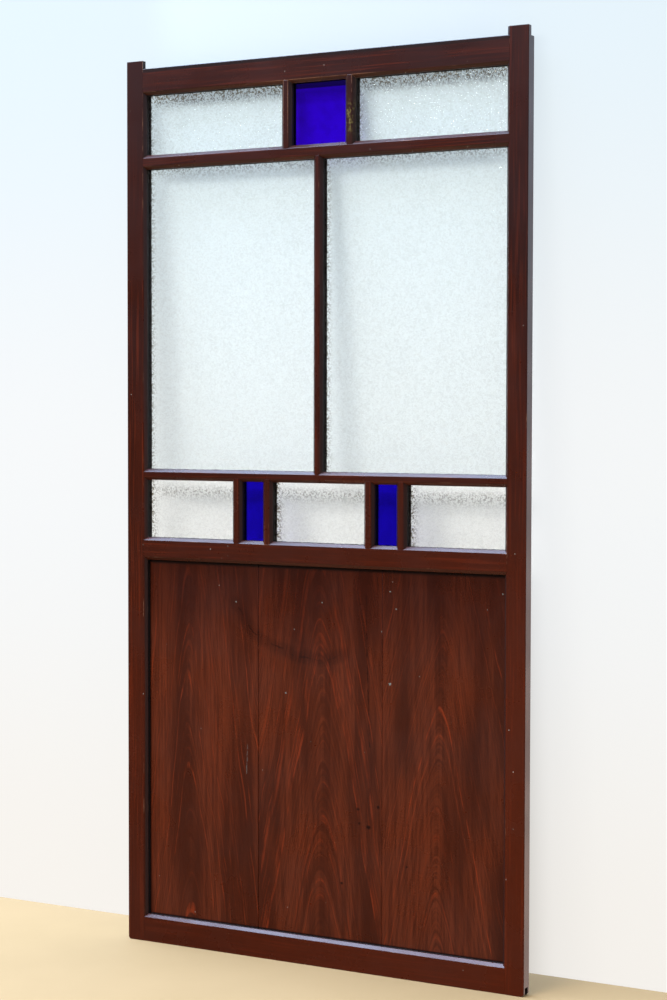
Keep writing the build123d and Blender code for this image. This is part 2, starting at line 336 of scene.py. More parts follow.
def stroke(tree, place, points, width):
    """A mask along a line through several points on the door's face."""
    flat = add(tree, "VectorMath", {0: place, 1: (1, 0, 1)}, operation="MULTIPLY").outputs[0]
    masks = []
    for (x0, z0), (x1, z1) in zip(points, points[1:]):
        start, run = Vector((x0, 0, z0)), Vector((x1 - x0, 0, z1 - z0))
        rest = add(tree, "VectorMath", {0: flat, 1: start}, operation="SUBTRACT").outputs[0]
        share = add(tree, "VectorMath", {0: rest, 1: run / run.length_squared}, operation="DOT_PRODUCT")
        kept = calc(tree, "ADD", share.outputs["Value"], 0.0, clamp=True)
        foot = add(tree, "VectorMath", {0: run, 3: kept}, operation="SCALE").outputs[0]
        away = add(tree, "VectorMath", {0: rest, 1: foot}, operation="DISTANCE").outputs["Value"]
        masks.append(spread(tree, away, width * 0.3, width, 1.0, 0.0))
    return most(tree, masks)


def panel_marks():
    gives = [("pale", "value"), ("dark", "value")]
    tree, taken, given = group("panel_marks", [("place", "vector")], gives)
    place = taken.outputs["place"]
    rough = add(tree, "TexNoise", {"Vector": place, "Scale": 300.0}).outputs["Color"]
    rough = add(tree, "VectorMath", {0: rough, 1: (0.5, 0.5, 0.5)}, operation="SUBTRACT").outputs[0]
    ragged = add(tree, "VectorMath", {0: rough, 1: (0.004, 0.004, 0.006), 2: place}, operation="MULTIPLY_ADD")
    ragged = ragged.outputs[0]
    pale = []
    for x, z, radius in DINGS:
        away = ring_distance(tree, ragged, x, z)
        pale.append(spread(tree, away, radius * 0.0004, radius * 0.0010, 1.0, 0.0))
    rub = stroke(tree, ragged, RUB, 0.0014)
    broken = spread(tree, noise_at(tree, place, 160, 2), 0.42, 0.55)
    pale.append(calc(tree, "MULTIPLY", calc(tree, "MULTIPLY", rub, broken), 0.35))
    dark = []
    for x, z, radius in KNOTS:
        away = ring_distance(tree, ragged, x, z)
        dark.append(spread(tree, away, radius * 0.0005, radius * 0.0013, 0.9, 0.0))
    bent = noise_at(tree, place, 45, 3)
    bent = calc(tree, "MULTIPLY", calc(tree, "SUBTRACT", bent, 0.5), 0.02)
    shift = add(tree, "CombineXYZ", {0: 0.0, 1: 0.0, 2: bent}).outputs[0]
    swayed = add(tree, "VectorMath", {0: place, 1: shift}, operation="ADD").outputs[0]
    gaps = spread(tree, noise_at(tree, place, 30, 3), 0.40, 0.56, 0.15, 0.75)
    fine = calc(tree, "MULTIPLY", stroke(tree, swayed, SCRATCH, 0.0022), gaps)
    soft = calc(tree, "MULTIPLY", stroke(tree, swayed, SCRATCH, 0.018), 0.3)
    hairline = calc(tree, "MULTIPLY", stroke(tree, ragged, CHECK, 0.0020), gaps)
    dark += [fine, soft, hairline]
    tree.links.new(most(tree, pale), given.inputs["pale"])
    tree.links.new(most(tree, dark), given.inputs["dark"])
    return tree


marked = panel_marks()
print("dings:", len(DINGS), "knots:", len(KNOTS))

# %% [markdown]
# Stained wood of the frame
#
# The frame is softwood under a dark red-brown stain and an old satin varnish. The base colour
# runs from near black in the soft early wood to red-brown in the rings. The varnish is the
# shader's own gloss, slightly uneven, and the fibres lift it in a very fine bump.
# Light and shade are painted into the colour as well: the frame is lighter low down on the right and darker
# high up on the left upright, and the reveals and the uprights' chamfers are darkened.

# %% Frame wood
STAIN_DARK = (0.020, 0.0036, 0.0018, 1)
STAIN_MID = (0.062, 0.0092, 0.0027, 1)
STAIN_RED = (0.105, 0.0135, 0.0032, 1)
BARE_WOOD = (0.36, 0.33, 0.30, 1)
WORN_EDGE = (0.17, 0.085, 0.052, 1)


FRAME_DINGS = [(0.414, 0.411, 1.2), (0.405, 0.487, 1.1), (-0.400, 0.499, 1.1), (-0.240, 0.795, 1.2)]
NAIL_HOLE = (0.437, -0.0064, 0.777)
OLIVE = (0.105, 0.085, 0.022, 1)
# A near black brown, used for the painted shade in the reveals and for the dark band on the top rail.
NEAR_BLACK_BROWN = (0.010, 0.0045, 0.0035, 1)
LIP_DEPTH = 6.5 * millimetre


def frame_spots(tree, place, colour):
    """Pale dings, an old nail hole in the edge, and a rubbed olive patch beside the blue light."""
    pale = []
    for x, z, radius in FRAME_DINGS:
        away = ring_distance(tree, place, x, z)
        pale.append(spread(tree, away, radius * 0.0004, radius * 0.0010, 1.0, 0.0))
    colour = blend(tree, most(tree, pale), colour, BARE_WOOD)
    away = add(tree, "VectorMath", {0: place, 1: NAIL_HOLE}, operation="DISTANCE").outputs["Value"]
    colour = blend(tree, spread(tree, away, 0.0010, 0.0016, 1.0, 0.0), colour, STAIN_DARK)
    low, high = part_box("top_bar_2")
    near = ring_distance(tree, place, high.x - 4 * millimetre, low.z + 0.4 * (high.z - low.z))
    patch = spread(tree, near, 0.012, 0.042, 1.0, 0.0)
    flecks = spread(tree, noise_at(tree, place, 210, 3, 0.6), 0.52, 0.60)
    return blend(tree, calc(tree, "MULTIPLY", patch, flecks), colour, OLIVE)


def frame_wood(name, along):
    """Stained wood whose grain runs along X or Z."""
    made, tree, shader, place = material(name)
    if along == "X":
        turn = (0.0, math.pi / 2, 0.0)
        place_along = add(tree, "Mapping", {"Vector": place, "Rotation": turn}).outputs[0]
    else:
        place_along = place
    grain = use(tree, straight, {"place": place_along})
    marks = use(tree, wear, {"place": place, "density": 0.05})
    tone = spread(tree, grain.outputs["tone"], 0.36, 0.66, 0.0, 0.42)
    sideways, inward_place, height_up = add(tree, "SeparateXYZ", {0: place}).outputs
    # Painted light: the right side is made lighter, against the lamp that falls from the left. Below, the lower
    # part is made lighter, the right side most.
    painted_light_right = spread(tree, sideways, leaf_low.x, leaf_high.x, 0.62, 1.0)
    lighter_low = calc(tree, "MULTIPLY", spread(tree, height_up, 0.45, 1.25, 1.0, 0.0), painted_light_right)
    colour = blend(tree, most(tree, [tone, lighter_low]), STAIN_DARK, STAIN_MID)
    red = spread(tree, grain.outputs["rings"], 0.46, 0.74, 0.0, 0.62 if along == "Z" else 0.46)
    colour = blend(tree, red, colour, STAIN_RED)
    # Darker high up. The left upright gets more of it than the right one, as painted shade against the lamp
    # from the left.
    high_darkening_share = spread(tree, sideways, leaf_low.x, leaf_high.x, 0.90, 0.45) if along == "Z" else 0.2
    high_darkening = calc(tree, "MULTIPLY", spread(tree, height_up, 1.0, 1.7), high_darkening_share)
    colour = blend(tree, high_darkening, colour, STAIN_DARK)
    dark = spread(tree, grain.outputs["fibre"], 0.56, 0.74, 0.0, 0.5)
    colour = blend(tree, dark, colour, STAIN_DARK)
    colour = blend(tree, calc(tree, "MULTIPLY", marks.outputs["nicks"], 0.5), colour, BARE_WOOD)
    edge = add(tree, "Attribute", attribute_name="eased").outputs["Fac"]
    chipping = noise_at(tree, place, 9, 5, 0.7)
    rubbed = spread(tree, chipping, 0.56, 0.68)
    handled = ring_distance(tree, place, 0.005, panel_high.z + 0.93)
    handled = spread(tree, handled, 0.08, 0.16, 1.0, 0.0)
    handled = calc(tree, "MULTIPLY", handled, spread(tree, chipping, 0.40, 0.52))
    colour = blend(tree, calc(tree, "MULTIPLY", edge, most(tree, [rubbed, handled])), colour, WORN_EDGE)
    colour = frame_spots(tree, place, colour)
    # Painted shade: the reveals behind the front lip are darkened, and on the uprights the chamfers too. The
    # outer side faces and the back are left out.
    depth_shade = spread(tree, inward_place, front + LIP_DEPTH, front + LIP_DEPTH + millimetre)
    edge_face = leaf_high.x - millimetre
    inward = spread(tree, calc(tree, "ABSOLUTE", sideways), edge_face, leaf_high.x, 1.0, 0.0)
    ahead = spread(tree, inward_place, back - millimetre, back, 1.0, 0.0)
    if along == "Z":
        chamfer_shade = spread(tree, inward_place, front + 0.8 * millimetre, front + 3 * millimetre, 0.0, 0.6)
        depth_shade = most(tree, [depth_shade, chamfer_shade])
    reveal_shade = calc(tree, "MULTIPLY", calc(tree, "MULTIPLY", depth_shade, inward), ahead)
    # A dark band from 9 to 5 mm below the top of the top rail, on the crosswise pieces.
    top_rail_band = spread(tree, height_up, rail_top - 9 * millimetre, rail_top - 5 * millimetre, 0.0, 0.8)
    if along == "X":
        colour = blend(tree, top_rail_band, colour, NEAR_BLACK_BROWN)
    tree.links.new(blend(tree, reveal_shade, colour, NEAR_BLACK_BROWN), shader.inputs["Base Color"])
    rough = spread(tree, marks.outputs["haze"], 0.3, 0.7, 0.22, 0.34)
    rough = calc(tree, "MULTIPLY_ADD", reveal_shade, 0.5, rough, clamp=True)
    tree.links.new(rough, shader.inputs["Roughness"])
    height = calc(tree, "ADD", grain.outputs["fibre"], calc(tree, "MULTIPLY", grain.outputs["rings"], 0.6))
    bump = add(tree, "Bump", {"Strength": 0.12, "Distance": 0.0002, "Height": height})
    tree.links.new(bump.outputs[0], shader.inputs["Normal"])
    return made


upright_wood = frame_wood("upright_wood", "Z")
crosswise_wood = frame_wood("crosswise_wood", "X")
print("wood:", upright_wood.name, crosswise_wood.name)

# %% [markdown]
# Stained wood of the boards
#
# The same stain, but on plain-sawn boards, where it lights up the rings in orange-red flames.
# Each board has its own heart line, taper and seed.

# %% Board wood
BOARD_DARK = (0.038, 0.0066, 0.0024, 1)
BOARD_MID = (0.098, 0.0172, 0.0056, 1)
BOARD_FLAME = (0.20, 0.0245, 0.0050, 1)
BOARD_TOP_DARK = (0.016, 0.0010, 0.0004, 1)
# Near black, for the knots and scratches and for the painted shade along the frame.
KNOT_AND_SHADE_BLACK = (0.010, 0.0024, 0.0014, 1)
DING_GREY = (0.14, 0.155, 0.15, 1)
SHADE_STRIP_FROM = abs(stile_inner) - 5 * millimetre
SHADE_STRIP_TO = abs(stile_inner)


def board_wood(name, heart, depth, taper, ring, seed):
    made, tree, shader, place = material(name)
    feeds = {"place": place, "heart": heart, "depth": depth, "taper": taper}
    feeds |= {"ring": ring, "seed": seed}
    grain = use(tree, arched, feeds)
    marks = use(tree, wear, {"place": place, "density": 0.03})
    tone = spread(tree, grain.outputs["tone"], 0.36, 0.60, 0.10, 1.0)
    colour = blend(tree, tone, BOARD_DARK, BOARD_MID)
    dark = spread(tree, grain.outputs["fibre"], 0.5, 0.75, 0.0, 0.55)
    colour = blend(tree, dark, colour, BOARD_DARK)
    colour = blend(tree, calc(tree, "MULTIPLY", grain.outputs["rings"], 0.72), colour, BOARD_DARK)
    colour = blend(tree, calc(tree, "MULTIPLY", grain.outputs["line"], 0.82), colour, BOARD_FLAME)
    spots = use(tree, marked, {"place": place})
    colour = blend(tree, spots.outputs["dark"], colour, KNOT_AND_SHADE_BLACK)
    split = add(tree, "SeparateXYZ", {0: place}).outputs
    # The boards grow darker towards their top.
    upper = spread(tree, split[2], panel_high.z - 0.26, panel_high.z - 0.01, 0.0, 0.58)
    colour = blend(tree, upper, colour, BOARD_TOP_DARK)
    # Painted shade: dark strips where the boards meet the stiles, the waist rail and the bottom rail.
    side_shade = spread(tree, calc(tree, "ABSOLUTE", split[0]), SHADE_STRIP_FROM, SHADE_STRIP_TO)
    top = spread(tree, split[2], panel_high.z - 17 * millimetre, panel_high.z - 10 * millimetre)
    foot = spread(tree, split[2], panel_foot + 1 * millimetre, panel_foot + 4 * millimetre, 1.0, 0.0)
    colour = blend(tree, most(tree, [side_shade, top, foot]), colour, KNOT_AND_SHADE_BLACK)
    colour = blend(tree, calc(tree, "MULTIPLY", marks.outputs["nicks"], 0.4), colour, BARE_WOOD)
    colour = blend(tree, spots.outputs["pale"], colour, DING_GREY)
    tree.links.new(colour, shader.inputs["Base Color"])
    rough = spread(tree, marks.outputs["haze"], 0.3, 0.7, 0.24, 0.38)
    tree.links.new(rough, shader.inputs["Roughness"])
    bump = add(tree, "Bump", {"Strength": 0.1, "Distance": 0.0002, "Height": grain.outputs["fibre"]})
    tree.links.new(bump.outputs[0], shader.inputs["Normal"])
    return made


board_woods = {
    "left": board_wood("board_wood_left", -0.296, 0.022, 0.12, 0.0037, 3.1),
    "middle": board_wood("board_wood_middle", 0.003, 0.024, 0.19, 0.0037, 7.4),
    "right": board_wood("board_wood_right", 0.258, 0.018, 0.22, 0.0038, 12.8),
}
print("boards:", sorted(board_woods))

# %% [markdown]
# Glass and metal
#
# Both glasses are real refracting glass. The figured one is nearly colourless, with a painted
# shadow of the frame, speckled and dust-coloured, along its top and left edge. The other is
# coloured through with cobalt, with a painted shadow along its top and left edge and a dim painted
# band below. Both measure from the pane's upper left corner, on a UV map.
# The small metal pieces underneath are worn steel and iron.

# %% Glass and metal
BROWN_PAINTED_SHADOW = (0.070, 0.047, 0.024, 1)
GREY_PAINTED_SHADOW = (0.11, 0.088, 0.055, 1)


def glass(name, colour, shadow_colour, shadow_top, shadow_left, grain_size, streak_shade, band=0.0):
    """Glass with a painted shadow along its top and left edge: how far in millimetres, and how dense."""
    made, tree, shader, place = material(name)
    corner = add(tree, "UVMap", uv_map="from_corner").outputs["UV"]
    split = add(tree, "SeparateXYZ", {0: corner}).outputs
    shadow_masks = []
    for distance, (reach, density) in ((split[1], shadow_top), (split[0], shadow_left)):
        shadow_masks.append(spread(tree, distance, 1 * millimetre, reach * millimetre, density, 0.0))
    # For the lower panes, a band of painted shadow a little below the top.
    below_top = spread(tree, split[1], 8 * millimetre, 26 * millimetre, 0.0, band)
    fading = spread(tree, split[1], 26 * millimetre, 52 * millimetre, 1.0, 0.0)
    shadow_masks.append(calc(tree, "MULTIPLY", below_top, fading))
    # The painted shadow is broken up into specks.
    shadow_speckle = noise_at(tree, place, 1 / (grain_size * millimetre), 2, 0.7)
    shadow_speckle = spread(tree, shadow_speckle, 0.45, 0.57, 0.12, 1.7)
    painted_shadow = calc(tree, "MULTIPLY", most(tree, shadow_masks), shadow_speckle)
    # Faint streaks of painted shade across the whole pane.
    shade_streaks = noise_at(tree, stretched(tree, place, (1, 0, 1)), 0.6 / (grain_size * millimetre), 3, 0.6, 1.6)
    painted_shadow = calc(tree, "ADD", painted_shadow, spread(tree, shade_streaks, 0.40, 0.66, 0.0, streak_shade), clamp=True)
    tree.links.new(blend(tree, painted_shadow, colour, shadow_colour), shader.inputs["Base Color"])
    tree.links.new(spread(tree, painted_shadow, 0.0, 1.0, 0.01, 0.12), shader.inputs["Roughness"])
    shader.inputs["Transmission Weight"].default_value = 1.0
    shader.inputs["IOR"].default_value = 1.5
    return made


def blue_glass(name, colour, dark, dim):
    """Blue glass with painted shadow up to some millimetres from its top and left edge, and a dim painted band
    below.
    """
    made, tree, shader, place = material(name)
    corner = add(tree, "UVMap", uv_map="from_corner").outputs["UV"]
    split = add(tree, "SeparateXYZ", {0: corner}).outputs
    shades = [spread(tree, noise_at(tree, place, 34, 3), 0.42, 0.66, 0.0, 0.12)]
    # Painted shadow along the top and left edge, and below the top a dim band of painted shadow.
    for distance, reach in ((split[1], dark[0]), (split[0], dark[1])):
        shades.append(spread(tree, distance, (reach - 2) * millimetre, reach * millimetre, 0.985, 0.0))
    start = spread(tree, split[1], (dim[0] - 4) * millimetre, (dim[0] + 4) * millimetre, 0.0, 0.34)
    end = spread(tree, split[1], (dim[1] - 6) * millimetre, (dim[1] + 6) * millimetre, 1.0, 0.0)
    shades.append(calc(tree, "MULTIPLY", start, end))
    tree.links.new(blend(tree, most(tree, shades), colour, BLUE_PAINTED_SHADE), shader.inputs["Base Color"])
    shader.inputs["Roughness"].default_value = 0.015
    shader.inputs["Transmission Weight"].default_value = 1.0
    shader.inputs["IOR"].default_value = 1.5
    return made


def metal(name, light, dark, roughness):
    made, tree, shader, place = material(name)
    cloud = noise_at(tree, place, 180, 4, 0.6)
    tree.links.new(blend(tree, spread(tree, cloud, 0.4, 0.62), light, dark), shader.inputs["Base Color"])
    tree.links.new(spread(tree, cloud, 0.3, 0.7, roughness, roughness + 0.25), shader.inputs["Roughness"])
    shader.inputs["Metallic"].default_value = 1.0
    bump = add(tree, "Bump", {"Strength": 0.3, "Distance": 0.0001, "Height": cloud})
    tree.links.new(bump.outputs[0], shader.inputs["Normal"])
    return made


CLEAR = (0.87, 0.908, 0.90, 1)
# The lower panes get a lighter, warmer copy of the clear glass: painted light.
PAINTED_LIGHT_CLEAR = (0.97, 0.965, 0.93, 1)
PURPLE = (0.040, 0.0002, 0.62, 1)
# The lower blue panes are a deeper cobalt, made darker as painted shade.
SHADED_COBALT = (0.007, 0.0009, 0.41, 1)
BLUE_PAINTED_SHADE = (0.0006, 0.0002, 0.003, 1)
glasses = {
    "top": glass("figured_glass_top", CLEAR, BROWN_PAINTED_SHADOW, (46, 0.80), (26, 0.60), 3.4, 0.15),
    "main": glass("figured_glass_main", CLEAR, GREY_PAINTED_SHADOW, (34, 0.46), (26, 0.70), 3.8, 0.10),
    "lower": glass("figured_glass_lower", PAINTED_LIGHT_CLEAR, BROWN_PAINTED_SHADOW, (8, 0.10), (34, 0.75), 3.4, 0.10, 0.40),
    "top_blue": blue_glass("blue_glass_top", PURPLE, (17, 9), (20, 44)),
    "lower_blue": blue_glass("blue_glass_lower", SHADED_COBALT, (6, 7), (20, 46)),
}
sheet_metal = metal("sheet_metal", (0.50, 0.49, 0.46, 1), (0.26, 0.20, 0.15, 1), 0.32)
wheel_iron = metal("wheel_iron", (0.34, 0.32, 0.30, 1), (0.15, 0.09, 0.06, 1), 0.38)
nail_steel = metal("nail_steel", (0.42, 0.40, 0.37, 1), (0.20, 0.12, 0.08, 1), 0.35)
print("glass and metal ready")

# %% [markdown]
# Wooden pieces with softened arrises
#
# Planed edges are never sharp: each is eased by a plane stroke and then worn. Every wooden
# piece is copied from the model, its loose triangles are merged, flat faces are joined again,
# and each sharp edge gets a small round. The copy keeps the model's joints, so the mitred
# shoulders show as fine lines.

# %% Softened wooden pieces
EASED = 0.45 * millimetre
EDGE_ANGLE = math.radians(25)


def softened(name, wood, ease=EASED):
    """A copy of a model piece with rounded arrises, which stands for it."""
    shape = bmesh.new()
    shape.from_mesh(nodes[name].data)
    bmesh.ops.remove_doubles(shape, verts=shape.verts, dist=1e-6)
    bmesh.ops.dissolve_limit(shape, angle_limit=math.radians(0.5), verts=shape.verts, edges=shape.edges)
    sharp = [e for e in shape.edges if e.is_manifold and e.calc_face_angle() > EDGE_ANGLE]
    rounds = bmesh.ops.bevel(shape, geom=sharp, offset=ease, offset_type="OFFSET", segments=2, profile=0.5,
                             affect="EDGES", clamp_overlap=False, loop_slide=True, material=-1)
    eased = shape.loops.layers.float.new("eased")
    for face in rounds["faces"]:
        for corner in face.loops:
            corner[eased] = 1.0
    mesh = bpy.data.meshes.new(name + "_dressed")
    shape.to_mesh(mesh)
    shape.free()
    mesh.materials.append(wood)
    piece = bpy.data.objects.new(name + "_dressed", mesh)
    bpy.context.scene.collection.objects.link(piece)
    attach(piece, "leaf")
    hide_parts(name)
    return piece


UPRIGHTS = ["left_stile", "right_stile", "top_bar_1", "top_bar_2", "main_bar_1"]
UPRIGHTS += [f"lower_bar_{number}" for number in range(1, 5)]
RAILS = ["top_rail", "transom_rail", "middle_rail", "waist_rail", "bottom_rail"]
dressed = {}
for name in UPRIGHTS:
    dressed[name] = softened(name, upright_wood)
for name in RAILS:
    dressed[name] = softened(name, crosswise_wood)
for side, wood in board_woods.items():
    name = "panel_board_" + side
    dressed[name] = softened(name, wood, 0.12 * millimetre)
print("wooden pieces:", len(dressed), "faces:", sum(len(p.data.polygons) for p in dressed.values()))

# %% [markdown]
# Beads
#
# Thin mitred strips hold each pane from behind. They only need the wood's material, with the
# grain along the longer side of the light.

# %% Beads
LIGHTS = ["top_left", "top_blue", "top_right", "main_left", "main_right"]
LIGHTS += ["lower_left", "lower_blue_left", "lower_middle", "lower_blue_right", "lower_right"]
for light in LIGHTS:
    low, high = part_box("beads_" + light)
    wood = crosswise_wood if high.x - low.x > high.z - low.z else upright_wood
    dressed["beads_" + light] = softened("beads_" + light, wood)
print("sets of beads:", len(LIGHTS))

# %% [markdown]
# Brads
#
# Each bead is held by a few thin brads, of which only the small round heads show at the back.
# One head is a flattened ball. It is set at even steps along all four strips of every light,
# and the heads are one piece, because nothing tells them apart.

# %% Brads
HEAD_RADIUS = 0.9 * millimetre
HEAD_RISE = 0.35 * millimetre
BRAD_STEP = 130 * millimetre
BRAD_FROM_CORNER = 22 * millimetre
BEAD_MIDDLE = 3 * millimetre


def evenly(low, high):
    """Places of the brads along one strip."""
    start, end = low + BRAD_FROM_CORNER, high - BRAD_FROM_CORNER
    gaps = max(1, round((end - start) / BRAD_STEP))
    return [start + (end - start) * count / gaps for count in range(gaps + 1)]


heads = bmesh.new()
random.seed(5)
brad_count = 0
for light in LIGHTS:
    low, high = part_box("beads_" + light)
    spots = [(x, z) for x in evenly(low.x, high.x) for z in (low.z + BEAD_MIDDLE, high.z - BEAD_MIDDLE)]
    spots += [(x, z) for z in evenly(low.z, high.z) for x in (low.x + BEAD_MIDDLE, high.x - BEAD_MIDDLE)]
    for x, z in spots:
        made = bmesh.ops.create_uvsphere(heads, u_segments=10, v_segments=6, radius=HEAD_RADIUS)
        flat = Matrix.Diagonal((1, HEAD_RISE / HEAD_RADIUS, 1, 1))
        off = random.uniform(-0.5, 0.5) * millimetre
        place = Matrix.Translation((x + off, high.y, z + off))
        bmesh.ops.transform(heads, matrix=place @ flat, verts=made["verts"])
        brad_count += 1
for face in heads.faces:
    face.smooth = True
heads_mesh = bpy.data.meshes.new("bead_brads")
heads.to_mesh(heads_mesh)
heads.free()
heads_mesh.materials.append(nail_steel)
bead_brads = bpy.data.objects.new("bead_brads", heads_mesh)
bpy.context.scene.collection.objects.link(bead_brads)
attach(bead_brads, "leaf")
print("brads:", brad_count)

# %% [markdown]
# Panes
#
# Figured glass is rolled against a pattern, so one face is smooth and the other has a relief
# that bends what lies behind it. A fine grid is given a thickness, the smooth face is joined
# into one, and a displacement moves the figured face alone. The small panes have a pebbled
# pattern a few millimetres across, the large ones a wider one with soft swirls.

# %% Panes
PANE_GRIDS = {"top": 1.25 * millimetre, "main": 2.0 * millimetre, "lower": 1.25 * millimetre}


def pebbles(place):
    """Relief of the small panes, from 0 to 1: round grains with furrows between them."""
    near, further = noise.voronoi(place * 300)[0][:2]
    return 1.0 - min(1.0, (further - near) * 1.5)


def swirls(place):
    """Relief of the large panes, from 0 to 1: strokes that turn around soft whirls."""
    bend = noise.noise_vector(place * 14) * 0.035
    turned = place + bend
    stroke = noise.noise(Vector((turned.x * 120, 0, turned.z * 120)) + noise.noise_vector(place * 60) * 1.3)
    return min(1.0, max(0.0, 0.5 + stroke))


def slab(name, step):
    """A pane as a slab with one fine face; returns its shape and the fine face's points."""
    low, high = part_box(name)
    wide, tall = high.x - low.x, high.z - low.z
    shape = bmesh.new()
    across, up = max(1, round(wide / step)), max(1, round(tall / step))
    made = bmesh.ops.create_grid(shape, x_segments=across, y_segments=up, size=0.5)
    fine = made["verts"]
    upright_turn = Matrix.Rotation(math.pi / 2, 4, "X") @ Matrix.Diagonal((wide, tall, 1, 1))
    centre = Vector(((low.x + high.x) / 2, high.y, (low.z + high.z) / 2))
    bmesh.ops.transform(shape, matrix=Matrix.Translation(centre) @ upright_turn, verts=fine)
    pushed = bmesh.ops.extrude_face_region(shape, geom=list(shape.faces), use_keep_orig=True)
    far = [part for part in pushed["geom"] if isinstance(part, bmesh.types.BMVert)]
    bmesh.ops.translate(shape, vec=(0, low.y - high.y, 0), verts=far)
    plain = [part for part in pushed["geom"] if isinstance(part, bmesh.types.BMFace)]
    bmesh.ops.dissolve_faces(shape, faces=plain, use_verts=False)
    bmesh.ops.recalc_face_normals(shape, faces=shape.faces)
    return shape, [v for v in shape.verts if abs(v.co.y - high.y) < 1e-6]


FAR_CORNER = Vector((10.0, 10.0))


def dress_pane(light, substance, relief=None, height=0.0, step=0.05):
    """A pane that stands for the model's; its own UV map measures from its upper left corner."""
    name = "pane_" + light
    shape, fine = slab(name, step)
    low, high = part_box(name)
    from_corner = shape.loops.layers.uv.new("from_corner")
    for face in shape.faces:
        smooth_side = all(abs(vert.co.y - low.y) < 1e-6 for vert in face.verts)
        for corner in face.loops:
            place = Vector((corner.vert.co.x - low.x, high.z - corner.vert.co.z))
            corner[from_corner].uv = FAR_CORNER if smooth_side else place
    rim = 3 * millimetre
    for vert in fine if relief else ():
        inset = min(vert.co.x - low.x, high.x - vert.co.x, vert.co.z - low.z, high.z - vert.co.z)
        vert.co.y -= height * relief(vert.co) * min(1.0, max(0.0, inset / rim))
    for face in shape.faces:
        face.smooth = relief is not None and abs(face.normal.y) > 0.5 and len(face.verts) == 4
    mesh = bpy.data.meshes.new(name + "_dressed")
    shape.to_mesh(mesh)
    shape.free()
    mesh.materials.append(substance)
    piece = bpy.data.objects.new(name + "_dressed", mesh)
    bpy.context.scene.collection.objects.link(piece)
    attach(piece, "leaf")
    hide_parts(name)
    piece.visible_shadow = False
    return piece


for light in LIGHTS:
    row = light.split("_")[0]
    if "blue" in light:
        piece = dress_pane(light, glasses[row + "_blue"])
    elif row == "main":
        piece = dress_pane(light, glasses[row], swirls, 0.40 * millimetre, PANE_GRIDS[row])
    else:
        piece = dress_pane(light, glasses[row], pebbles, 0.45 * millimetre, PANE_GRIDS[row])
    print(piece.name, len(piece.data.polygons), "faces")

# %% [markdown]
# Rollers
#
# The rollers hide in the groove under the door. Their shapes stay as the model has them, and
# only take a finish.

# %% Rollers
ROLLER_FINISH = {"roller_housing": sheet_metal, "roller_wheel": wheel_iron, "roller_axle": nail_steel}
for kind, finish in ROLLER_FINISH.items():
    for side in ("left", "right"):
        nodes[f"{kind}_{side}"].material_slots[0].material = finish
nodes["roller_nails"].material_slots[0].material = nail_steel
print("rollers finished")

# %% [markdown]
# Floor and backdrop
#
# The door stands on a plain pale floor, a hand's breadth before a plain pale backdrop that leans
# towards its top. Glass needs something behind it: the frame's soft shadow falls on the
# backdrop, and the figured panes break it up along their edges. The backdrop shines a little by
# itself, so that it stays even, and takes most shadow right behind the leaf. It is there for
# the eye and for the glass only: it throws no light back at the door, and from behind it is
# clear, so the door's back can be looked at as well.

# %% Floor and backdrop
FLOOR_HALF = 6.0
BACKDROP_FOOT = 0.15
BACKDROP_LEAN = math.radians(3.9)


def staged(name, half_wide, half_long, rise, turn, finish):
    """A flat sheet laid out from the floor line by its rise, and turned up about that line."""
    mesh = bpy.data.meshes.new(name)
    shape = bmesh.new()
    bmesh.ops.create_grid(shape, x_segments=1, y_segments=1, size=1.0)
    bmesh.ops.scale(shape, vec=(half_wide, half_long, 1), verts=shape.verts)
    bmesh.ops.translate(shape, vec=(0, rise, 0), verts=shape.verts)
    bmesh.ops.rotate(shape, matrix=Matrix.Rotation(turn, 3, "X"), verts=shape.verts)
    bmesh.ops.translate(shape, vec=(0, BACKDROP_FOOT, 0), verts=shape.verts)
    shape.to_mesh(mesh)
    shape.free()
    mesh.materials.append(finish)
    sheet = bpy.data.objects.new(name, mesh)
    bpy.context.scene.collection.objects.link(sheet)
    return sheet


floor_finish, floor_tree, floor_shader, floor_place = material("pale_floor")
floor_tint = spread(floor_tree, noise_at(floor_tree, floor_place, 3, 4), 0.3, 0.7)
floor_colour = blend(floor_tree, floor_tint, (0.465, 0.318, 0.152, 1), (0.49, 0.335, 0.163, 1))
floor_tree.links.new(floor_colour, floor_shader.inputs["Base Color"])
floor_shader.inputs["Roughness"].default_value = 0.7
floor = staged("floor", FLOOR_HALF, FLOOR_HALF, 0.0, 0.0, floor_finish)
floor.visible_glossy = False

drop_finish, drop_tree, drop_shader, drop_place = material("pale_backdrop")
drop_split = add(drop_tree, "SeparateXYZ", {0: drop_place}).outputs
warm = spread(drop_tree, drop_split[2], 0.0, 0.9)
cool = spread(drop_tree, drop_split[2], 0.9, 2.0)
tint = blend(drop_tree, warm, (0.965, 0.935, 0.89, 1), (0.94, 0.96, 0.97, 1))
tint = blend(drop_tree, cool, tint, (0.79, 0.91, 0.985, 1))
aside = calc(drop_tree, "ABSOLUTE", drop_split[0])
shaded = spread(drop_tree, aside, leaf_high.x - 0.12, leaf_high.x, 0.56, 0.15)
drop_tree.links.new(calc(drop_tree, "SUBTRACT", 1.0, shaded), drop_shader.inputs["Emission Strength"])
drop_tree.links.new(tint, drop_shader.inputs["Emission Color"])
paint = add(drop_tree, "VectorMath", {0: tint, 3: calc(drop_tree, "MULTIPLY", shaded, 0.56)}, operation="SCALE")
drop_tree.links.new(paint.outputs[0], drop_shader.inputs["Base Color"])
drop_shader.inputs["Roughness"].default_value = 1.0
drop_shader.inputs["Specular IOR Level"].default_value = 0.0
seen_from_the_door = add(drop_tree, "NewGeometry").outputs["Backfacing"]
clear = add(drop_tree, "BsdfTransparent")
feeds = {0: seen_from_the_door, 1: clear.outputs[0], 2: drop_shader.outputs[0]}
mixed = add(drop_tree, "MixShader", feeds)
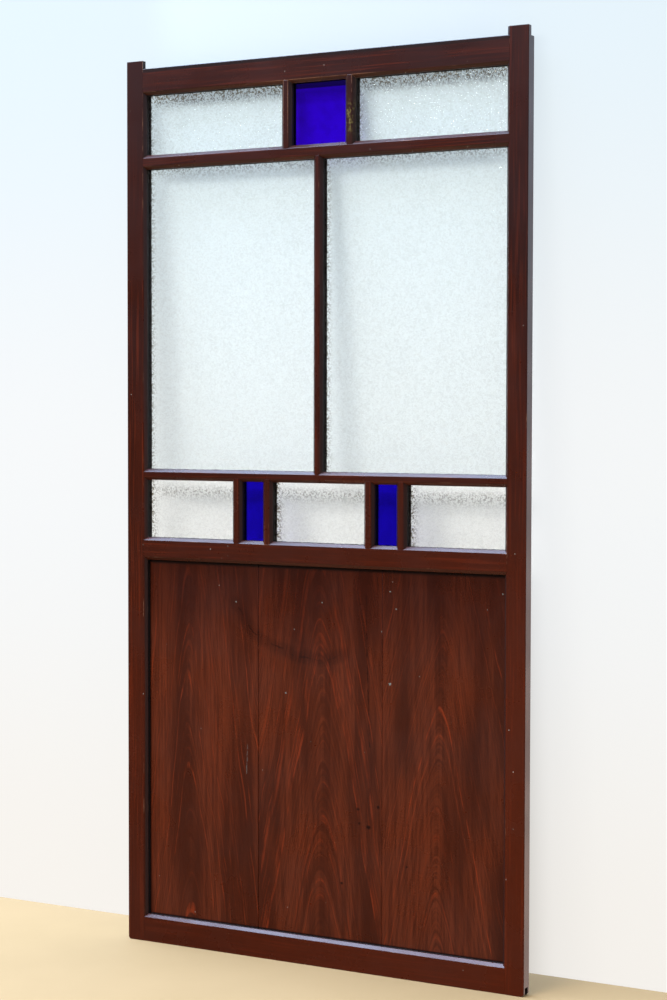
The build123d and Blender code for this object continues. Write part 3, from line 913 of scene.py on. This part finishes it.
drop_tree.links.new(mixed.outputs[0], drop_tree.nodes["Material Output"].inputs["Surface"])
backdrop = staged("backdrop", 3.0, 1.4, -1.4, BACKDROP_LEAN - math.pi / 2, drop_finish)
backdrop.visible_diffuse = False
backdrop.visible_glossy = False
backdrop.visible_shadow = False
print("backdrop:", [round(v, 2) for v in backdrop.dimensions])

# %% [markdown]
# Light
#
# One large soft lamp stands far off to the left and above, and a wide cool one hangs overhead.
# The dome around the door differs by the kind of ray that asks: the eye sees pale air,
# matt surfaces get an even soft light, and the varnish reflects a dim room, a bright corner
# behind on the right, and a cool ceiling, which draws the light line along every ledge.

# %% Light
bpy.context.scene.view_settings.view_transform = "Standard"
world = bpy.data.worlds.new("studio")
bpy.context.scene.world = world
world.use_nodes = True
sky = world.node_tree
direction = add(sky, "SeparateXYZ", {0: add(sky, "TexCoord").outputs["Generated"]}).outputs
rays = add(sky, "LightPath").outputs
up = spread(sky, direction[2], -0.10, 0.22)
pale_air = blend(sky, up, (0.95, 0.93, 0.89, 1), (0.86, 0.93, 0.98, 1))
soft_light = blend(sky, spread(sky, direction[2], -0.2, 0.5), (0.86, 0.78, 0.68, 1), (0.78, 0.85, 0.92, 1))
low_wall = spread(sky, direction[2], -0.02, 0.20)
high_wall = spread(sky, direction[2], 0.148, 0.162)
facing = spread(sky, direction[1], -0.2, 0.2)
dim_share = calc(sky, "MULTIPLY_ADD", calc(sky, "SUBTRACT", low_wall, high_wall), facing, high_wall)
dim_room = blend(sky, dim_share, (0.045, 0.028, 0.018, 1), (0.31, 0.42, 0.55, 1))
lit_floor = spread(sky, direction[2], -0.85, -0.55, 1.0, 0.0)
dim_room = blend(sky, lit_floor, dim_room, (0.55, 0.40, 0.26, 1))
bright_room = blend(sky, spread(sky, direction[2], -0.25, 0.15), (2.1, 1.75, 1.55, 1), (1.15, 1.30, 1.55, 1))
beyond = spread(sky, direction[0], 0.58, 0.70, 1.0, 0.0)
aside = calc(sky, "MULTIPLY", spread(sky, direction[1], 0.0, 0.6), spread(sky, direction[0], 0.1, 0.45))
aside = calc(sky, "MULTIPLY", aside, beyond)
mirrored = blend(sky, aside, dim_room, bright_room)
colour = blend(sky, rays["Is Diffuse Ray"], pale_air, soft_light)
reflected = calc(sky, "SUBTRACT", rays["Is Glossy Ray"], rays["Is Transmission Ray"], clamp=True)
colour = blend(sky, reflected, colour, mirrored)
sky.links.new(colour, sky.nodes["Background"].inputs["Color"])


def softbox(name, place, aim, width, height, power, colour):
    data = bpy.data.lights.new(name, "AREA")
    data.shape = "RECTANGLE"
    data.size = width
    data.size_y = height
    data.energy = power
    data.color = colour
    lamp = bpy.data.objects.new(name, data)
    bpy.context.scene.collection.objects.link(lamp)
    lamp.location = place
    lamp.rotation_euler = (Vector(aim) - Vector(place)).to_track_quat("-Z", "Y").to_euler()
    lamp.visible_camera = False
    return lamp


key = softbox("key", (-1.1, -5.5, 4.2), (0, 0, 0.9), 3.2, 1.4, 330, (1.0, 0.97, 0.93))
key.visible_glossy = False
ceiling = softbox("ceiling", (-1.3, -0.4, 3.3), (-1.3, -0.4, 0), 2.8, 2.0, 235, (0.54, 0.70, 1.0))
ceiling.visible_transmission = False
